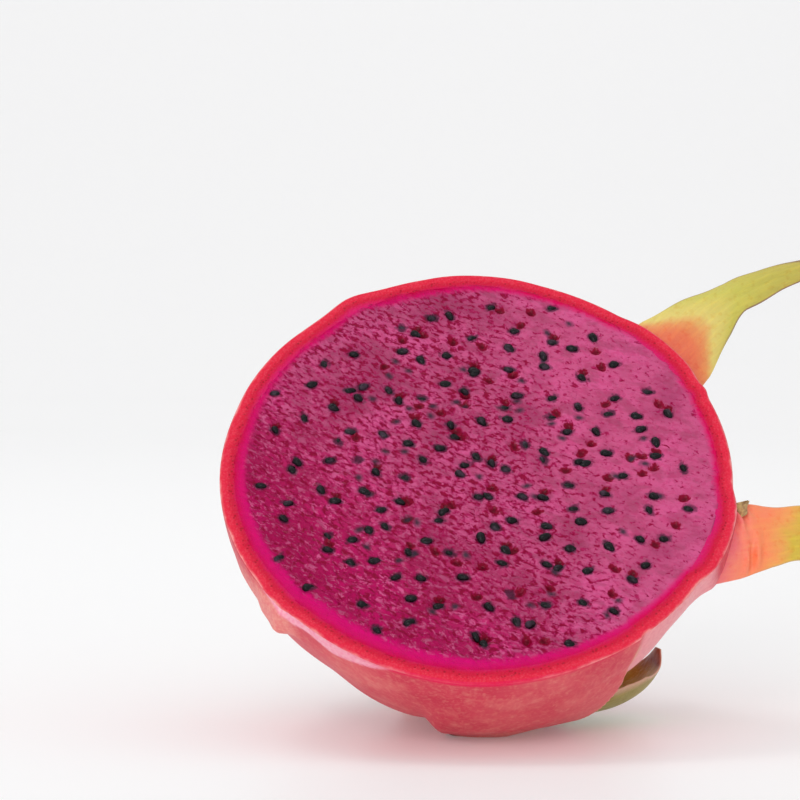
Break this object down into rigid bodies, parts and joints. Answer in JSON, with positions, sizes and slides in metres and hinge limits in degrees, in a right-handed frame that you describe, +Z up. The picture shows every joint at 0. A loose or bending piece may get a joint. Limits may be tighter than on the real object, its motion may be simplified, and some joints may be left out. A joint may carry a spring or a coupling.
{
  "type": "dragon fruit half",
  "caption": "Half of a red-fleshed dragon fruit, cut across, leaning back on its own scales with the seeded flesh facing forward.",
  "frame": {"origin": "on the table, at the front part of the flat spot of the broad scale that carries the fruit", "axes": "+Z up, the cut face looks towards -Y and up, +X to the right as seen from the front"},
  "size_m": [0.1266, 0.0966, 0.089],
  "materials": {
    "peel": "waxy pink-red skin with yellow-green scale tips",
    "flesh": "wet, translucent, with glossy black seeds",
    "dried_flower": "dry and papery"
  },
  "bodies": {
    "root": {"peel": "peel", "flesh": "flesh", "dried_flower": "dried_flower"}
  },
  "joints": []
}
